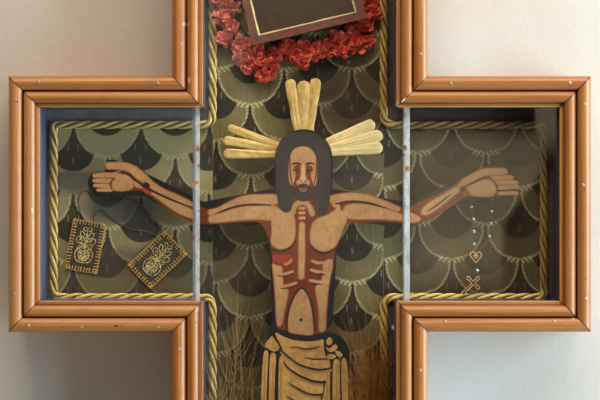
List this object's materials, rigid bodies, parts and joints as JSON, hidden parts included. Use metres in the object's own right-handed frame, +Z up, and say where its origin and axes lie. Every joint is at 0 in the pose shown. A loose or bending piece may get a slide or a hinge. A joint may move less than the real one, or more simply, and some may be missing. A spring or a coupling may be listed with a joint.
{
  "type": "glazed cross-shaped wall shrine",
  "caption": "Wall-hung wooden display case in the shape of a Latin cross, glazed in front, with a painted cut-out crucifix figure, gilt rays, sign, flower wreath and keepsakes.",
  "frame": {"origin": "centre of the crossing on the wall plane, where the back meets the wall", "axes": "+X to the right seen from the front, +Y into the wall, +Z up; the glazed front faces -Y"},
  "size_m": [0.72, 0.0787, 1.06],
  "materials": {
    "batten_wood": "satin",
    "varnished_pine": "gloss",
    "painted_back": "matte",
    "window_glass": "gloss",
    "came_metal": "satin",
    "block_wood": "matte",
    "figure_paint": "satin",
    "gilt": "satin",
    "sign_paint": "satin",
    "sign_rim": "satin",
    "flower_paper": "matte",
    "brown_cloth": "matte",
    "brown_cord": "matte",
    "rosary_metal": "gloss",
    "dried_barley": "matte"
  },
  "bodies": {
    "root": {"batten_top": "batten_wood", "batten_top_right": "batten_wood", "batten_right_arm_top": "batten_wood", "batten_right_arm_end": "batten_wood", "batten_right_arm_bottom": "batten_wood", "batten_post_right": "batten_wood", "batten_bottom": "batten_wood", "batten_post_left": "batten_wood", "batten_left_arm_bottom": "batten_wood", "batten_left_arm_end": "batten_wood", "batten_left_arm_top": "batten_wood", "batten_top_left": "batten_wood", "moulding_top": "varnished_pine", "moulding_top_right": "varnished_pine", "moulding_right_arm_top": "varnished_pine", "moulding_right_arm_end": "varnished_pine", "moulding_right_arm_bottom": "varnished_pine", "moulding_post_right": "varnished_pine", "moulding_bottom": "varnished_pine", "moulding_post_left": "varnished_pine", "moulding_left_arm_bottom": "varnished_pine", "moulding_left_arm_end": "varnished_pine", "moulding_left_arm_top": "varnished_pine", "moulding_top_left": "varnished_pine", "back_post": "painted_back", "back_left_arm": "painted_back", "back_right_arm": "painted_back", "glass_post": "window_glass", "glass_left_arm": "window_glass", "glass_right_arm": "window_glass", "came_left": "came_metal", "came_right": "came_metal", "standoff_blocks": "block_wood", "figure_board": "figure_paint", "rays": "gilt", "sign_board": "sign_paint", "sign_frame": "sign_rim", "wreath": "flower_paper", "scapular_left": "brown_cloth", "scapular_right": "brown_cloth", "scapular_cord_long": "brown_cord", "scapular_cord_short": "brown_cord", "rosary": "rosary_metal", "barley_left": "dried_barley", "barley_right": "dried_barley"}
  },
  "joints": []
}
